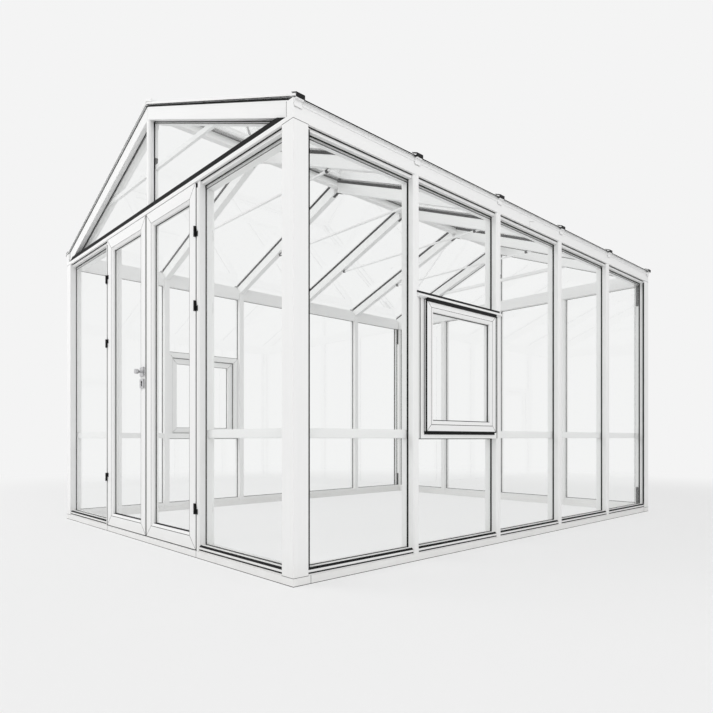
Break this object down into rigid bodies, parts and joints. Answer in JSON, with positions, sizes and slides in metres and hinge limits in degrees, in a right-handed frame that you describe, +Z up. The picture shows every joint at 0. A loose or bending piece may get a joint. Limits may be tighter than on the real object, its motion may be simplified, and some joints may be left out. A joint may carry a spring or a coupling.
{
  "type": "wooden greenhouse",
  "caption": "White timber greenhouse with a gable roof, glazed walls and roof, an opening window in each long wall and a pair of glazed doors in one gable.",
  "frame": {"origin": "middle of the footprint at ground level", "axes": "+X across the gable to the right as seen from the doors, +Y along the house away from the doors, +Z up"},
  "size_m": [2.978, 3.865, 2.6709],
  "materials": {
    "painted_timber": "satin",
    "clear_glass": "polished",
    "black_metal": "satin",
    "black_rubber": "matte",
    "satin_steel": "satin",
    "white_metal": "satin"
  },
  "bodies": {
    "house": {"back_wall_glass": "clear_glass", "back_wall_rails": "painted_timber", "barge_boards": "painted_timber", "corner_posts": "painted_timber", "door_posts": "painted_timber", "door_threshold": "painted_timber", "eaves_beams": "painted_timber", "eaves_clips": "white_metal", "eaves_trims": "white_metal", "end_plinths": "painted_timber", "front_wall_rails": "painted_timber", "gable_flashings": "black_rubber", "gable_glass": "clear_glass", "glazing_caps": "painted_timber", "hinge_post_halves": "black_metal", "king_posts": "painted_timber", "left_wall_glass": "clear_glass", "left_wall_rails": "painted_timber", "rafters": "painted_timber", "ridge_beam": "painted_timber", "ridge_cap": "painted_timber", "right_wall_glass": "clear_glass", "right_wall_rails": "painted_timber", "roof_caps": "painted_timber", "roof_glass": "clear_glass", "side_plinths": "painted_timber", "sidelight_glass": "clear_glass", "tie_beams": "painted_timber", "tie_rods": "white_metal", "wall_posts": "painted_timber", "window_drip_caps": "painted_timber", "window_frame_jambs": "painted_timber", "window_frame_rails": "painted_timber", "window_glass": "clear_glass", "window_sash_rails": "painted_timber", "window_sash_stiles": "painted_timber"},
    "left_door": {"left_door_furniture": "satin_steel", "left_door_glass": "clear_glass", "left_door_hinges": "black_metal", "left_door_rails": "painted_timber", "left_door_stiles": "painted_timber"},
    "right_door": {"right_door_glass": "clear_glass", "right_door_hinges": "black_metal", "right_door_rails": "painted_timber", "right_door_stiles": "painted_timber"}
  },
  "joints": [
    {"name": "left_door_hinge", "type": "hinge", "parent": "house", "child": "left_door", "pos_m": [-0.6195, -1.9155, 1], "axis": [0, 0, -1], "range_deg": [0, 110]},
    {"name": "right_door_hinge", "type": "hinge", "parent": "house", "child": "right_door", "pos_m": [0.6195, -1.9155, 1], "axis": [0, 0, 1], "range_deg": [0, 110]}
  ]
}
